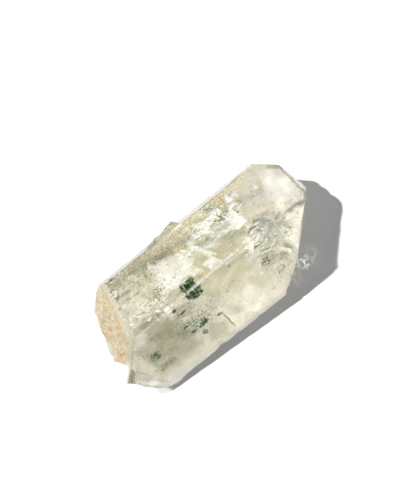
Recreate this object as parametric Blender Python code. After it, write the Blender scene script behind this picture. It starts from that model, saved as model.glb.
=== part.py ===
"""A chlorite quartz crystal lying on its side, as one closed solid.

The crystal is a six-sided prism with one pointed end and one broken end. It is cut out of a block
by its own faces, the way a crystal is drawn from its face angles. Small plates are then grown on
its left side, flakes are chipped off its edges, and the surface is given its fine relief.

The long axis runs along X with the point at +X, and +Z is up. Lengths are in millimetres until the
last step, which turns the mesh into metres.
"""

import math

import bmesh
import bpy
from mathutils import Matrix, Vector, noise

MM = 0.001

# The crystal as it lies
AXIS_RISE = 6.0  # degrees by which the long axis climbs towards the point
RIDGE = Vector((0.0, -0.5, 24.9))  # where the top edge of the prism passes the middle
LEFT_EDGE = Vector((0.0, 15.1, 22.1))  # where the broad top face turns into the left side
LEFT_BELLY = Vector((0.0, 16.1, 11.2))  # widest point of the left side
RIGHT_BELLY = Vector((0.0, -18.0, 4.1))  # widest point of the right side, close to the ground

# Turn of each prism face about the long axis, in degrees from straight up, left positive
TOP_TURN = 10.0
FLANK_TURN = -50.0
UNDER_LEFT_TURN = 130.0
UNDER_RIGHT_TURN = -107.0

# Corners of the pointed end
SHOULDER = Vector((17.0, 4.0, 25.9))
RIDGE_END = Vector((17.5, 0.5, 26.5))
POINT = Vector((35.8, 0.5, 13.0))
POINT_LEFT = Vector((33.9, 9.8, 12.9))
FACET_TOP = Vector((31.7, -1.2, 14.9))
FACET_BACK = Vector((22.0, -8.5, 17.4))
FACET_FOOT = Vector((26.7, -7.8, 11.5))
LEFT_CHEEK = Vector((30.2, 12.9, 12.0))

# Corners of the broken end
BREAK_TOP = Vector((-26.4, 0.3, 22.0))
BREAK_LEFT = Vector((-24.5, 9.0, 20.6))
BREAK_RIGHT = Vector((-34.9, -8.1, 11.5))
HEEL = Vector((-32.6, 5.5, 8.0))
HEEL_END = Vector((-35.0, 0.0, 6.0))
HEEL_LEFT = Vector((-27.6, 13.9, 8.0))
HEEL_RIGHT = Vector((-32.9, -12.1, 6.0))
HEEL_CORNER = Vector((-28.8, -16.7, 3.0))

# The cleft in the broken end, seen from above
CLEFT_BOTTOM = Vector((-32.3, -5.2, 0.0))
CLEFT_LEFT = Vector((-36.6, 0.2, 0.0))
CLEFT_RIGHT = Vector((-36.9, -10.4, 0.0))
CLEFT_LEAN = -0.6  # how far the cleft leans over its height, along X
CLEFT_SINK = 1.0  # how far its wedge starts below the ground

# Plates grown on the left side: start, crest and end along X, reach in Y, drop below the top face
PLATES = (
    (-13.0, -4.5, 5.2, 16.5, 0.8),
    (-10.5, 0.2, 4.7, 17.0, 2.3),
    (-7.0, 1.6, 3.8, 17.3, 4.4),
)
PLATE_ROOT = 13.0  # where a plate's root starts inside the crystal, in Y
PLATE_END_REACH = 14.2  # how far a plate reaches in Y at both of its ends
PLATE_FOOT = 12.3  # height of the lower end of the plates
PLATE_FOOT_CLIMB = -50.0  # degrees; the plates are undercut this steeply

# Flakes broken off the edges: point on the edge, direction it was struck from, radius, depth
CHIPS = (
    ((-10.2, -17.9, 3.0), (0.4, -1.0, 0.2), 2.8, 0.75),
    ((-3.6, -17.9, 3.7), (-0.5, -1.0, 0.1), 1.9, 0.40),
    ((4.4, -17.9, 4.5), (-0.3, -1.0, 0.2), 2.6, 0.30),
    ((14.6, -17.6, 5.6), (0.4, -1.0, 0.1), 3.0, 0.95),
    ((35.6, 1.6, 13.0), (1.0, -0.2, 0.4), 1.7, 0.35),
    ((35.0, 4.6, 12.9), (1.0, 0.3, 0.3), 2.2, 0.50),
    ((34.3, 7.7, 12.9), (1.0, 0.5, 0.2), 1.6, 0.30),
    ((27.0, 15.8, 15.6), (0.4, 1.0, 0.5), 2.6, 0.70),
    ((10.5, 15.0, 23.0), (-0.2, 1.0, 0.6), 2.0, 0.40),
    ((-21.0, 15.0, 19.8), (0.2, 1.0, 0.7), 2.2, 0.45),
    ((-26.4, 0.0, 22.1), (-0.7, -0.2, 1.0), 2.8, 0.80),
)

# Shallow shells struck into the second rhomb face: middle of the shell, its width, its depth
SHELLS = (
    ((24.4, -4.6, 18.4), 15.6, 1.15),
    ((20.4, -0.4, 23.7), 9.2, 0.80),
    ((30.6, -1.6, 15.6), 6.4, 0.55),
)

# How round the balls are that take the flakes and the shells, in subdivisions
CHIP_DETAIL = 2
SHELL_DETAIL = 4

# The blocks that the crystal and its plates are cut from, in width
CRYSTAL_BLOCK = 200.0
PLATE_BLOCK = 60.0

# Fine relief
GRID_FINE = 1.05  # spacing of the surface mesh on the broken end
GRID_ALONG = 1.9  # spacing elsewhere, along the axis
GRID_ACROSS = 2.9  # spacing elsewhere, across the axis
GRID_HALF = 40.0  # the spacing is laid out this far from the middle, to both sides
BREAK_INNER = -22.5  # the fine spacing starts here, in X
HACKLE = 0.75  # height of the lumps of the broken end
HACKLE_SIZE = 4.2  # distance between those lumps
HACKLE_SINK = 0.35  # share of their height that lies under the flat face
GRAIN = 0.34  # height of the grain on the lumps
GRAIN_SIZE = 1.7
SWELL = 0.09  # height of the slow waves of a grown face
SWELL_SIZE = 7.0
GROWTH_STEP = 0.16  # height of the growth lines across a grown face
GROWTH_PITCH = 3.8  # distance between growth lines
GROWTH_WANDER = 0.8  # how far a growth line strays, in pitches
RIPPLE = 0.16  # height of the ripples of a shell-like break
RIPPLE_PITCH = 3.0
RIPPLE_WANDER = 0.6  # how far a ripple strays, in pitches
SEED_SHIFT = Vector((17.3, 4.1, 9.6))  # picks the part of the noise field that is used

# What counts as level, as lying on a face, and as one flat face
SAME_WAY = 0.999  # least cosine between two directions that are the same
NEAR_GROUND = 0.01
NEAR_FACE = 0.02
FLAT_FOLD = math.radians(0.2)


def leaning(turn, rise=AXIS_RISE):
    """The outward direction of a prism face, turned about the raised long axis."""
    upright = Vector((0.0, math.sin(math.radians(turn)), math.cos(math.radians(turn))))
    upright.rotate(Matrix.Rotation(-math.radians(rise), 3, "Y"))
    return upright


def facing(x, y, climb):
    """The outward direction of a face that looks along (x, y) in plan and up by climb degrees."""
    level = Vector((x, y, 0.0)).normalized() * math.cos(math.radians(climb))
    return level + Vector((0.0, 0.0, math.sin(math.radians(climb))))


def through(first, second, third):
    """A face through three corners, looking away from the middle of the crystal."""
    normal = (second - first).cross(third - first).normalized()
    middle = Vector((0.0, 0.0, RIDGE.z / 2))
    return (first, -normal if normal.dot(first - middle) < 0 else normal)


def grown_faces():
    """The faces that the crystal grew, each as a point on it and its outward direction."""
    return {
        "top": (RIDGE, leaning(TOP_TURN)),
        "flank": (RIDGE, leaning(FLANK_TURN)),
        "left": (LEFT_EDGE, facing(0.02, 1.0, 5.0)),
        "under_left": (LEFT_BELLY, leaning(UNDER_LEFT_TURN)),
        "under_right": (RIGHT_BELLY, leaning(UNDER_RIGHT_TURN, rise=0.0)),
        "rhomb": through(SHOULDER, POINT, POINT_LEFT),
        "left_cheek": (LEFT_CHEEK, facing(0.62, 0.78, -6.0)),
        "under_point": (POINT, facing(0.98, 0.19, -44.0)),
    }


def shell_faces():
    """The faces at the pointed end that are broken like shells or worn."""
    return {
        "second_rhomb": through(RIDGE_END, POINT, FACET_BACK),
        "facet": through(FACET_TOP, FACET_BACK, FACET_FOOT),
        "right_cheek": (FACET_FOOT, facing(0.645, -0.764, -9.0)),
    }


def broken_faces():
    """The faces of the broken end."""
    return {
        "break": through(BREAK_TOP, BREAK_LEFT, BREAK_RIGHT),
        "heel": (HEEL, facing(-0.95, 0.31, -9.0)),
        "heel_end": (HEEL_END, facing(-1.0, 0.05, -5.0)),
        "heel_left": (HEEL_LEFT, facing(-0.69, 0.72, 6.0)),
        "heel_right": (HEEL_RIGHT, facing(-0.83, -0.56, -4.0)),
        "heel_corner": (HEEL_CORNER, facing(-0.5, -0.86, -6.0)),
    }


def slice_off(mesh, point, normal):
    """Removes what lies outside a plane and closes the cut."""
    everything = mesh.verts[:] + mesh.edges[:] + mesh.faces[:]
    cut = bmesh.ops.bisect_plane(
        mesh, geom=everything, dist=1e-5, plane_co=point, plane_no=normal, clear_outer=True
    )
    rim = [part for part in cut["geom_cut"] if isinstance(part, bmesh.types.BMEdge)]
    if rim:
        bmesh.ops.edgeloop_fill(mesh, edges=rim)


def block(size):
    """A block standing on the ground, to be cut down by faces."""
    mesh = bmesh.new()
    bmesh.ops.create_cube(mesh, size=size)
    bmesh.ops.translate(mesh, verts=mesh.verts, vec=(0.0, 0.0, size / 2))
    return mesh


def cut_crystal():
    """The crystal as flat faces only."""
    mesh = block(CRYSTAL_BLOCK)
    for group in (grown_faces(), shell_faces(), broken_faces()):
        for point, normal in group.values():
            slice_off(mesh, point, normal)
    return mesh


def plate(start, crest, end, reach, drop):
    """A thin plate on the left side, widest at its crest and tapering to both ends."""
    mesh = block(PLATE_BLOCK)
    along = Vector((1.0, 0.0, 0.0))
    slice_off(mesh, Vector((end, 0.0, 0.0)), along)
    slice_off(mesh, Vector((start, 0.0, 0.0)), -along)
    slice_off(mesh, Vector((0.0, PLATE_ROOT, 0.0)), Vector((0.0, -1.0, 0.0)))
    spread = reach - PLATE_END_REACH
    slice_off(mesh, Vector((crest, reach, 0.0)), Vector((spread, end - crest, 0.0)).normalized())
    slice_off(mesh, Vector((crest, reach, 0.0)), Vector((-spread, crest - start, 0.0)).normalized())
    slice_off(mesh, RIDGE - Vector((0.0, 0.0, drop)), leaning(TOP_TURN))
    slice_off(mesh, Vector((0.0, reach, PLATE_FOOT + drop)), facing(0.0, 1.0, PLATE_FOOT_CLIMB))
    return mesh


def cleft():
    """The wedge that is missing from the broken end."""
    mesh = bmesh.new()
    corners = [mesh.verts.new(c) for c in (CLEFT_BOTTOM, CLEFT_LEFT, CLEFT_RIGHT)]
    mesh.faces.new(corners)
    grown = bmesh.ops.extrude_face_region(mesh, geom=mesh.faces[:])
    lifted = [part for part in grown["geom"] if isinstance(part, bmesh.types.BMVert)]
    bmesh.ops.translate(mesh, verts=lifted, vec=(CLEFT_LEAN, 0.0, 2 * RIDGE.z))
    bmesh.ops.translate(mesh, verts=mesh.verts, vec=(0.0, 0.0, -CLEFT_SINK))
    bmesh.ops.recalc_face_normals(mesh, faces=mesh.faces)
    return mesh


def scoop(place, direction, radius, depth, detail):
    """A faceted ball that takes a flake of the given depth off the crystal."""
    mesh = bmesh.new()
    centre = Vector(place) + Vector(direction).normalized() * (radius - depth)
    bmesh.ops.create_icosphere(mesh, subdivisions=detail, radius=radius)
    bmesh.ops.rotate(mesh, verts=mesh.verts, matrix=Matrix.Rotation(radius, 3, "X"))
    bmesh.ops.translate(mesh, verts=mesh.verts, vec=centre)
    return mesh


def as_object(name, mesh):
    """Puts a mesh into the scene."""
    data = bpy.data.meshes.new(name)
    mesh.to_mesh(data)
    mesh.free()
    thing = bpy.data.objects.new(name, data)
    bpy.context.scene.collection.objects.link(thing)
    return thing


def combined(body, tool, operation):
    """The body with a tool mesh joined to it or cut out of it."""
    base = as_object("base", body)
    helper = as_object("helper", tool)
    modifier = base.modifiers.new(operation.lower(), "BOOLEAN")
    modifier.operation = operation
    modifier.solver = "EXACT"
    modifier.object = helper
    graph = bpy.context.evaluated_depsgraph_get()
    result = bmesh.new()
    result.from_object(base, graph)
    for thing in (base, helper):
        bpy.data.objects.remove(thing)
    return result


def lay_grid(mesh, axis, spacing, low, high, keep):
    """Cuts the surface along evenly spaced planes across one axis, where keep(face) holds."""
    direction = Vector((0.0, 0.0, 0.0))
    direction[axis] = 1.0
    for step in range(1, int((high - low) / spacing) + 1):
        place = direction * (low + step * spacing)
        faces = [face for face in mesh.faces if keep(face)]
        edges = list({edge for face in faces for edge in face.edges})
        verts = list({vert for face in faces for vert in face.verts})
        bmesh.ops.bisect_plane(
            mesh, geom=verts + edges + faces, dist=1e-4, plane_co=place, plane_no=direction
        )


def on_ground(face):
    """True for the face that the crystal rests on."""
    return face.normal.z < -SAME_WAY and face.calc_center_median().z < NEAR_GROUND


def refine(mesh):
    """Gives the surface enough points to carry its relief. The resting face stays whole."""

    def rough(face):
        return not on_ground(face) and face.calc_center_median().x < BREAK_INNER

    def anywhere(face):
        return not on_ground(face)

    lay_grid(mesh, 0, GRID_ALONG, BREAK_INNER - GRID_ALONG, GRID_HALF, anywhere)
    lay_grid(mesh, 0, GRID_FINE, -GRID_HALF, BREAK_INNER, rough)
    for axis in (1, 2):
        lay_grid(mesh, axis, GRID_ACROSS, -GRID_HALF, GRID_HALF, anywhere)
        lay_grid(mesh, axis, GRID_ACROSS / 2, -GRID_HALF, GRID_HALF, rough)


def owner(face, groups):
    """The kind of surface that a face belongs to: grown, shell, broken or rest."""
    if on_ground(face):
        return "rest"
    centre = face.calc_center_median()
    for kind, faces in groups.items():
        for point, normal in faces.values():
            beside = abs((centre - point).dot(normal))
            if beside < NEAR_FACE and face.normal.dot(normal) > SAME_WAY:
                return kind
    return "broken" if centre.x < BREAK_INNER else "shell"


def relief_height(kind, place):
    """How far a surface point moves outwards, by the kind of its surface."""
    spot = place + SEED_SHIFT
    if kind == "broken":
        lumps = noise.noise(spot / HACKLE_SIZE)
        grain = noise.noise(spot / GRAIN_SIZE)
        return HACKLE * (lumps - HACKLE_SINK) + GRAIN * grain
    if kind == "shell":
        stray = RIPPLE_WANDER * noise.noise(spot / SWELL_SIZE)
        rings = (place - SHOULDER).length / RIPPLE_PITCH + stray
        return RIPPLE * (abs(2 * (rings % 1.0) - 1) - 0.5)
    if kind == "grown":
        swell = noise.noise(spot / SWELL_SIZE)
        stray = GROWTH_WANDER * noise.noise(spot / (2 * SWELL_SIZE))
        line = (place.x / GROWTH_PITCH + stray) % 1.0
        return SWELL * swell - GROWTH_STEP * line * (0.5 + noise.noise(spot / GRAIN_SIZE) / 2)
    return 0.0


def add_relief(mesh):
    """Moves each surface point along its own normal.

    A point on the resting face stays in its plane, and none sinks below the ground.
    """
    groups = {"grown": grown_faces(), "shell": shell_faces(), "broken": broken_faces()}
    kinds = {face: owner(face, groups) for face in mesh.faces}
    mesh.normal_update()
    moves = {}
    for vert in mesh.verts:
        around = [kinds[face] for face in vert.link_faces]
        height = sum(relief_height(kind, vert.co) for kind in around) / len(around)
        move = vert.normal * height
        if "rest" in around:
            move.z = 0.0
        moves[vert] = move
    for vert, move in moves.items():
        vert.co += move
        vert.co.z = max(vert.co.z, 0.0)


def quartz_material():
    """Clear quartz, slightly milky and olive, with an index of refraction of 1.544."""
    material = bpy.data.materials.new("chlorite quartz")
    material.use_nodes = True
    shader = material.node_tree.nodes["Principled BSDF"]
    shader.inputs["Base Color"].default_value = (0.80, 0.77, 0.66, 1.0)
    shader.inputs["Roughness"].default_value = 0.08
    shader.inputs["Metallic"].default_value = 0.0
    shader.inputs["IOR"].default_value = 1.544
    shader.inputs["Transmission Weight"].default_value = 0.9
    return material


def seat(mesh):
    """Puts the middle of the underside at the origin and turns millimetres into metres."""
    spans = [(min(v.co[i] for v in mesh.verts), max(v.co[i] for v in mesh.verts)) for i in range(3)]
    shift = Vector((-sum(spans[0]) / 2, -sum(spans[1]) / 2, -spans[2][0]))
    print("moved by", [round(s, 3) for s in shift], "size", [round(b - a, 2) for a, b in spans])
    bmesh.ops.translate(mesh, verts=mesh.verts, vec=shift)
    bmesh.ops.scale(mesh, verts=mesh.verts, vec=(MM, MM, MM))


def make_crystal():
    """The whole crystal as one object."""
    body = cut_crystal()
    for sizes in PLATES:
        body = combined(body, plate(*sizes), "UNION")
    body = combined(body, cleft(), "DIFFERENCE")
    for place, direction, radius, depth in CHIPS:
        body = combined(body, scoop(place, direction, radius, depth, CHIP_DETAIL), "DIFFERENCE")
    struck = shell_faces()["second_rhomb"][1]
    for place, width, depth in SHELLS:
        radius = (width**2 / 4 + depth**2) / (2 * depth)
        body = combined(body, scoop(place, struck, radius, depth, SHELL_DETAIL), "DIFFERENCE")
    bmesh.ops.dissolve_limit(body, angle_limit=FLAT_FOLD, verts=body.verts, edges=body.edges)
    refine(body)
    add_relief(body)
    bmesh.ops.triangulate(body, faces=body.faces)
    seat(body)
    print("triangles", len(body.faces))
    crystal = as_object("quartz_crystal", body)
    crystal.data.materials.append(quartz_material())


for leftover in list(bpy.data.objects):
    bpy.data.objects.remove(leftover)
make_crystal()
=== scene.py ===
# %% [markdown]
# This lesson dresses a chlorite quartz crystal. The real thing is a single grown crystal that lies on
# its side: clear to milky quartz with one pointed end, one broken end stained by iron, and dark green
# chlorite that was caught inside while the quartz grew.
#
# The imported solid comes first. It is in metres, its underside is on the floor and its point looks
# along +X. Everything below takes its place from it, and nothing in it is moved.

import math

import bmesh
import bpy
import numpy as np
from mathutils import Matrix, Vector, noise
from mathutils.bvhtree import BVHTree


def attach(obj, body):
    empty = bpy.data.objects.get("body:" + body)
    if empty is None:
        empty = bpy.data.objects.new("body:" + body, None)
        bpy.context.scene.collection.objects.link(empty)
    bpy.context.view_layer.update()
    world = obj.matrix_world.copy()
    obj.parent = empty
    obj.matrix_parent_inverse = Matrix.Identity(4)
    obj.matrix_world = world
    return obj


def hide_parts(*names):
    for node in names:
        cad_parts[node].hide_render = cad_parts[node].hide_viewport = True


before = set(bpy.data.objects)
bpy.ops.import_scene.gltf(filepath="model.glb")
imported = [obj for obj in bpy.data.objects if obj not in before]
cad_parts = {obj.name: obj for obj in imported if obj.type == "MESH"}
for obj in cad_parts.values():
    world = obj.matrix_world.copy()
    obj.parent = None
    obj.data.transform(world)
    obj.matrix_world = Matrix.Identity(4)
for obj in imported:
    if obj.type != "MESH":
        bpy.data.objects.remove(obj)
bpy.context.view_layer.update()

# %% [markdown]
# The crystal was drawn in millimetres about the middle of its long axis, and then seated so that the
# middle of its underside is the origin. The helper below takes a place in that drawing and returns
# it in the frame, so that sizes can be read here as they would be measured on the stone.

# %% Places in millimetres
MM = 0.001
SEAT = Vector((0.172, 0.483, 0.0))  # from the drawing's origin to the seated one, in millimetres


def at(x, y, z):
    """A place in the drawing, in millimetres, as a place in the frame, in metres."""
    return (Vector((x, y, z)) + SEAT) * MM


# %% [markdown]
# Every object here is made the same way: its data first, then an object that holds the data, then a
# link that puts it in the scene. Two short helpers do that, the second one for a mesh that was built
# with bmesh.


# %% Make objects
def placed(name, data):
    """A new object in the scene that holds the given data."""
    thing = bpy.data.objects.new(name, data)
    bpy.context.scene.collection.objects.link(thing)
    return thing


def as_object(name, mesh, *materials):
    """An object made of a bmesh, which is freed, and its materials."""
    data = bpy.data.meshes.new(name)
    mesh.to_mesh(data)
    mesh.free()
    for material in materials:
        data.materials.append(material)
    return placed(name, data)


# %% [markdown]
# The photograph looks straight down on the crystal, from far enough away that nothing tapers. A long
# lens three quarters of a metre up does the same. The picture is 400 by 502 pixels, and one pixel is
# 0.27 mm on the crystal, which gives the lens. The crystal lies across the picture, so the camera is
# turned about the vertical.

# %% Camera
PIXEL = 0.27  # millimetres on the crystal for one pixel
LONG_SIDE = 502  # pixels of the picture's long side
SENSOR = 36.0  # millimetres, for the long side
CAMERA_RISE = 750.0  # millimetres from the camera to the middle height of the crystal
MIDDLE_HEIGHT = 12.0
PICTURE_CENTRE = (2.5, 6.0)  # the point under the middle of the picture, in the drawing
CAMERA_TURN = -40.0  # degrees about the vertical

lens = bpy.data.cameras.new("camera")
lens.sensor_width = SENSOR
lens.lens = SENSOR * CAMERA_RISE / (PIXEL * LONG_SIDE)
camera = placed("camera", lens)
camera.location = at(*PICTURE_CENTRE, MIDDLE_HEIGHT + CAMERA_RISE)
camera.rotation_euler = (0.0, 0.0, math.radians(CAMERA_TURN))
bpy.context.scene.camera = camera
print("lens", round(lens.lens, 1), "mm")

# %% [markdown]
# Shader maths reads best as ordinary sums. The class below wraps one output of a node, and each
# operator adds the Math node that it stands for, so 1 - mask * 0.5 is written just like that.

# %% Shader sums
class Wire:
    """One output of a shader node, which can be used in sums."""

    def __init__(self, tree, socket):
        self.tree = tree
        self.socket = socket

    def sum(self, operation, *values):
        """A Math node of that kind, fed with the values."""
        node = self.tree.nodes.new("ShaderNodeMath")
        node.operation = operation
        for slot, value in zip(node.inputs, values):
            feed(self.tree, slot, value)
        return Wire(self.tree, node.outputs[0])

    def __add__(self, other):
        return self.sum("ADD", self, other)

    def __sub__(self, other):
        return self.sum("SUBTRACT", self, other)

    def __rsub__(self, other):
        return self.sum("SUBTRACT", other, self)

    def __mul__(self, other):
        return self.sum("MULTIPLY", self, other)

    def __pow__(self, other):
        return self.sum("POWER", self, other)

    __radd__ = __add__
    __rmul__ = __mul__


def feed(tree, slot, value):
    """Links a wire to an input, or sets the input to a plain value."""
    if isinstance(value, Wire):
        tree.links.new(value.socket, slot)
    else:
        slot.default_value = value


# %% [markdown]
# A finish is a material being built. One method adds any node: its settings go in first, because
# they can change which sockets it has, and then the values or wires of its inputs. The shorter
# methods below it are the patterns that more than one finish here uses.

# %% Finish builder
class Finish:
    """A material and the nodes that are added to it."""

    def __init__(self, name):
        self.material = bpy.data.materials.new(name)
        self.material.use_nodes = True
        self.tree = self.material.node_tree
        self.tree.nodes.clear()
        self.place = self.node("ShaderNodeTexCoord", out="Object")

    def node(self, kind, settings=None, sockets=None, out=0):
        """Adds a node of any kind and returns one of its outputs."""
        node = self.tree.nodes.new(kind)
        for name, value in (settings or {}).items():
            if name == "stops":
                set_stops(node.color_ramp, value)
            else:
                setattr(node, name, value)
        for name, value in (sockets or {}).items():
            feed(self.tree, node.inputs[name], value)
        return Wire(self.tree, node.outputs[out])

    def noise(self, size, detail=2.0, rough=0.5, stretch=(1.0, 1.0, 1.0), turn=(0.0, 0.0, 0.0)):
        """Cloudy noise with lumps of about that size, in millimetres."""
        scaled = tuple(s / (size * MM) for s in stretch)
        place = self.node(
            "ShaderNodeMapping", None, {"Vector": self.place, "Rotation": turn, "Scale": scaled}
        )
        values = {"Vector": place, "Scale": 1.0, "Detail": detail, "Roughness": rough}
        return self.node("ShaderNodeTexNoise", None, values)

    def step(self, value, low, high):
        """0 below low, 1 above high, and a smooth rise between them."""
        values = {"Value": value, "From Min": low, "From Max": high}
        return self.node("ShaderNodeMapRange", {"interpolation_type": "SMOOTHSTEP"}, values)

    def blend(self, share, first, second):
        """Mixes two colours."""
        settings = {"data_type": "RGBA"}
        return self.node("ShaderNodeMix", settings, {0: share, 6: first, 7: second}, out=2)

    def principled(self, sockets):
        """The shader that most finishes start from."""
        return self.node("ShaderNodeBsdfPrincipled", None, sockets)

    def mix(self, share, first, second):
        """Mixes two shaders."""
        return self.node("ShaderNodeMixShader", None, {0: share, 1: first, 2: second})

    def lamp(self):
        """1 for the rays that look for a lamp, and 0 for all others."""
        return self.node("ShaderNodeLightPath", out="Is Shadow Ray")

    def soft(self):
        """1 for the rays that gather soft light for a dull surface, and 0 for all others."""
        return self.node("ShaderNodeLightPath", out="Is Diffuse Ray")

    def unseen(self):
        """Lets a ray pass as if nothing were there."""
        return self.node("ShaderNodeBsdfTransparent", None, {"Color": (1.0, 1.0, 1.0, 1.0)})

    def mark(self, name):
        """A value that the mesh keeps at each of its points."""
        return self.node("ShaderNodeAttribute", {"attribute_name": name}, out="Fac")

    def done(self, surface, volume=None):
        """Joins the shaders to the output, and returns the finished material."""
        out = self.tree.nodes.new("ShaderNodeOutputMaterial")
        feed(self.tree, out.inputs["Surface"], surface)
        if volume:
            feed(self.tree, out.inputs["Volume"], volume)
        print(self.material.name, "is made of", len(self.tree.nodes), "nodes")
        return self.material


def set_stops(ramp, stops):
    """Gives a colour ramp its stops, each a position and a colour."""
    while len(ramp.elements) > 1:
        ramp.elements.remove(ramp.elements[-1])
    ramp.elements[0].position, ramp.elements[0].color = stops[0]
    for position, colour in stops[1:]:
        ramp.elements.new(position).color = colour


# %% [markdown]
# The floor is a plain white sheet, which only has to catch the light and the crystal's shadow. It lies
# a hair below the crystal, because two surfaces in exactly the same place would flicker.

# %% Floor
FLOOR_HALF = 1.5  # metres
AIR_GAP = 0.1  # millimetres between the floor and the underside, which never quite touch
floor_mesh = bmesh.new()
bmesh.ops.create_grid(floor_mesh, x_segments=2, y_segments=2, size=FLOOR_HALF)
bmesh.ops.translate(floor_mesh, verts=floor_mesh.verts, vec=(0.0, 0.0, -AIR_GAP * MM))
paper = Finish("white paper")
plain_white = paper.principled(
    {"Base Color": (0.90, 0.90, 0.90, 1.0), "Roughness": 0.9, "Specular IOR Level": 0.0},
)
floor = as_object("floor", floor_mesh, paper.done(plain_white))
print("floor lies", AIR_GAP, "mm below the crystal")

# %% [markdown]
# One low sun from the upper left throws the short grey shadow to the lower right, and the sky fills
# it. The sun's disc is a little wide, so that the shadow's far edge is soft. The sky is white over
# the horizon, so that the stone has something bright to mirror, and greyer above.

# %% Light
SUN_WAY = Vector((0.482, -0.876, 0.0))  # the way that the light travels over the floor
SUN_HEIGHT = 49.2  # degrees above the floor
SUN_STRENGTH = 3.8
SUN_WIDTH = 1.8  # degrees
SKY_STRENGTH = 0.30
HORIZON_STRENGTH = 0.8  # the white that lies over the horizon
HORIZON_NARROW = 9.0  # how fast it fades upwards

sun_data = bpy.data.lights.new("sun", "SUN")
sun_data.energy = SUN_STRENGTH
sun_data.angle = math.radians(SUN_WIDTH)
sun_data.color = (1.0, 0.985, 0.96)
sun = placed("sun", sun_data)
down = SUN_WAY.normalized() * math.cos(math.radians(SUN_HEIGHT))
down.z = -math.sin(math.radians(SUN_HEIGHT))
sun.rotation_mode = "QUATERNION"
sun.rotation_quaternion = down.to_track_quat("-Z", "Y")

sky = bpy.data.worlds.new("sky")
sky.use_nodes = True
sky_tree = sky.node_tree
direction = sky_tree.nodes.new("ShaderNodeTexCoord")
parts = sky_tree.nodes.new("ShaderNodeSeparateXYZ")
sky_tree.links.new(direction.outputs["Generated"], parts.inputs[0])
upwards = Wire(sky_tree, parts.outputs["Z"])
height = upwards.sum("ABSOLUTE", upwards)
glow = (1.0 - height) ** HORIZON_NARROW * HORIZON_STRENGTH
background = sky_tree.nodes["Background"]
background.inputs["Color"].default_value = (0.97, 0.98, 1.0, 1.0)
feed(sky_tree, background.inputs["Strength"], glow + SKY_STRENGTH)
sky.cycles.sampling_method = "NONE"
bpy.context.scene.world = sky
print("sun stands", SUN_HEIGHT, "degrees high, and the sky is made of", len(sky_tree.nodes), "nodes")

# %% [markdown]
# Light crosses many surfaces on its way through a clear stone with sheets and plates in it, so it may
# bend and pass more often than is usual. Traced caustics stay off: they would need far more samples.

# %% How far light is followed
bpy.context.scene.view_settings.view_transform = "Standard"
bpy.context.scene.cycles.max_bounces = 24
bpy.context.scene.cycles.transmission_bounces = 20
bpy.context.scene.cycles.transparent_max_bounces = 40
bpy.context.scene.cycles.caustics_refractive = False
bpy.context.scene.cycles.caustics_reflective = False

# %% [markdown]
# The crystal itself. Its solid has the right shape, but its facets are millimetres wide, and light
# that bends through them would show each one. So a copy is taken, its loose triangles are joined, and
# it is divided until no edge is longer than about half a millimetre. The points are then evened out
# inside each face while the true edges of the crystal stay where they are.

# %% Divide the crystal's surface
EDGE_LIMITS = (8.0, 4.0, 2.0, 1.2, 0.75)  # millimetres, one round each
TRUE_EDGE = math.radians(17.0)  # a fold sharper than this is an edge of the crystal
UNDERSIDE = 2e-5  # metres; points below this lie on the floor


def joined_copy(node):
    """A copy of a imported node's mesh, with its loose triangles joined."""
    mesh = bmesh.new()
    mesh.from_mesh(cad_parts[node].data)
    bmesh.ops.remove_doubles(mesh, verts=mesh.verts, dist=1e-7)
    return mesh


def divide(mesh, limits):
    """Halves the edges that are too long, round by round."""
    for limit in limits:
        long_edges = [edge for edge in mesh.edges if edge.calc_length() > limit * MM]
        bmesh.ops.subdivide_edges(mesh, edges=long_edges, cuts=1)
        bmesh.ops.triangulate(mesh, faces=[face for face in mesh.faces if len(face.verts) > 3])


crystal_mesh = joined_copy("quartz_crystal")
print("joined", len(crystal_mesh.verts), "points", len(crystal_mesh.faces), "faces")
divide(crystal_mesh, EDGE_LIMITS)
print("divided", len(crystal_mesh.verts), "points", len(crystal_mesh.faces), "faces")

# %% Even out the faces
EVEN_ROUNDS = 24
crystal_mesh.verts.ensure_lookup_table()
crystal_mesh.verts.index_update()
points = np.array([vert.co for vert in crystal_mesh.verts])
pairs = np.array([[end.index for end in edge.verts] for edge in crystal_mesh.edges])
folded = np.array([edge.calc_face_angle(0.0) > TRUE_EDGE for edge in crystal_mesh.edges])
rests = points[:, 2] < UNDERSIDE


def around(values, edges):
    """The mean of each point's neighbours over the given edges, and how many it has."""
    total = np.zeros_like(values)
    near = np.zeros(len(values))
    for a, b in ((0, 1), (1, 0)):
        np.add.at(total, edges[:, a], values[edges[:, b]])
        np.add.at(near, edges[:, a], 1)
    return (total.T / np.maximum(near, 1)).T, near


def softened(values, rounds, share=1.0):
    """Values at the points after they were mixed with their neighbours' some times over."""
    for _ in range(rounds):
        values = (1 - share) * values + share * around(values, pairs)[0]
    return values


on_edge = around(points, pairs[folded])[1] > 0
free = ~on_edge & ~rests
for _ in range(EVEN_ROUNDS):
    points[free] = around(points, pairs)[0][free]
print("evened", int(free.sum()), "points,", int(on_edge.sum()), "lie on true edges")

# %% [markdown]
# Edges of a natural crystal are never knife sharp. Pulling the points of each edge a little towards
# their neighbours rounds it by about a tenth of a millimetre, enough to catch a thin line of light.
# The wear is uneven, so a noise decides how far each point is pulled.

# %% Wear the edges
EDGE_WEAR = 0.55  # the largest share of the way to the mean of the neighbours
WEAR_SIZE = 2.3  # millimetres from a worn stretch to a sharp one
worn = on_edge & ~rests
pull = np.array([0.5 + 0.5 * noise.noise(Vector(p) / (WEAR_SIZE * MM)) for p in points[worn]])
points[worn] += (around(points, pairs)[0][worn] - points[worn]) * (EDGE_WEAR * pull)[:, None]
for vert, place in zip(crystal_mesh.verts, points):
    vert.co = place
crystal_mesh.normal_update()
normals = np.array([vert.normal for vert in crystal_mesh.verts])
print("worn", int(worn.sum()), "points of the edges")

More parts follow.
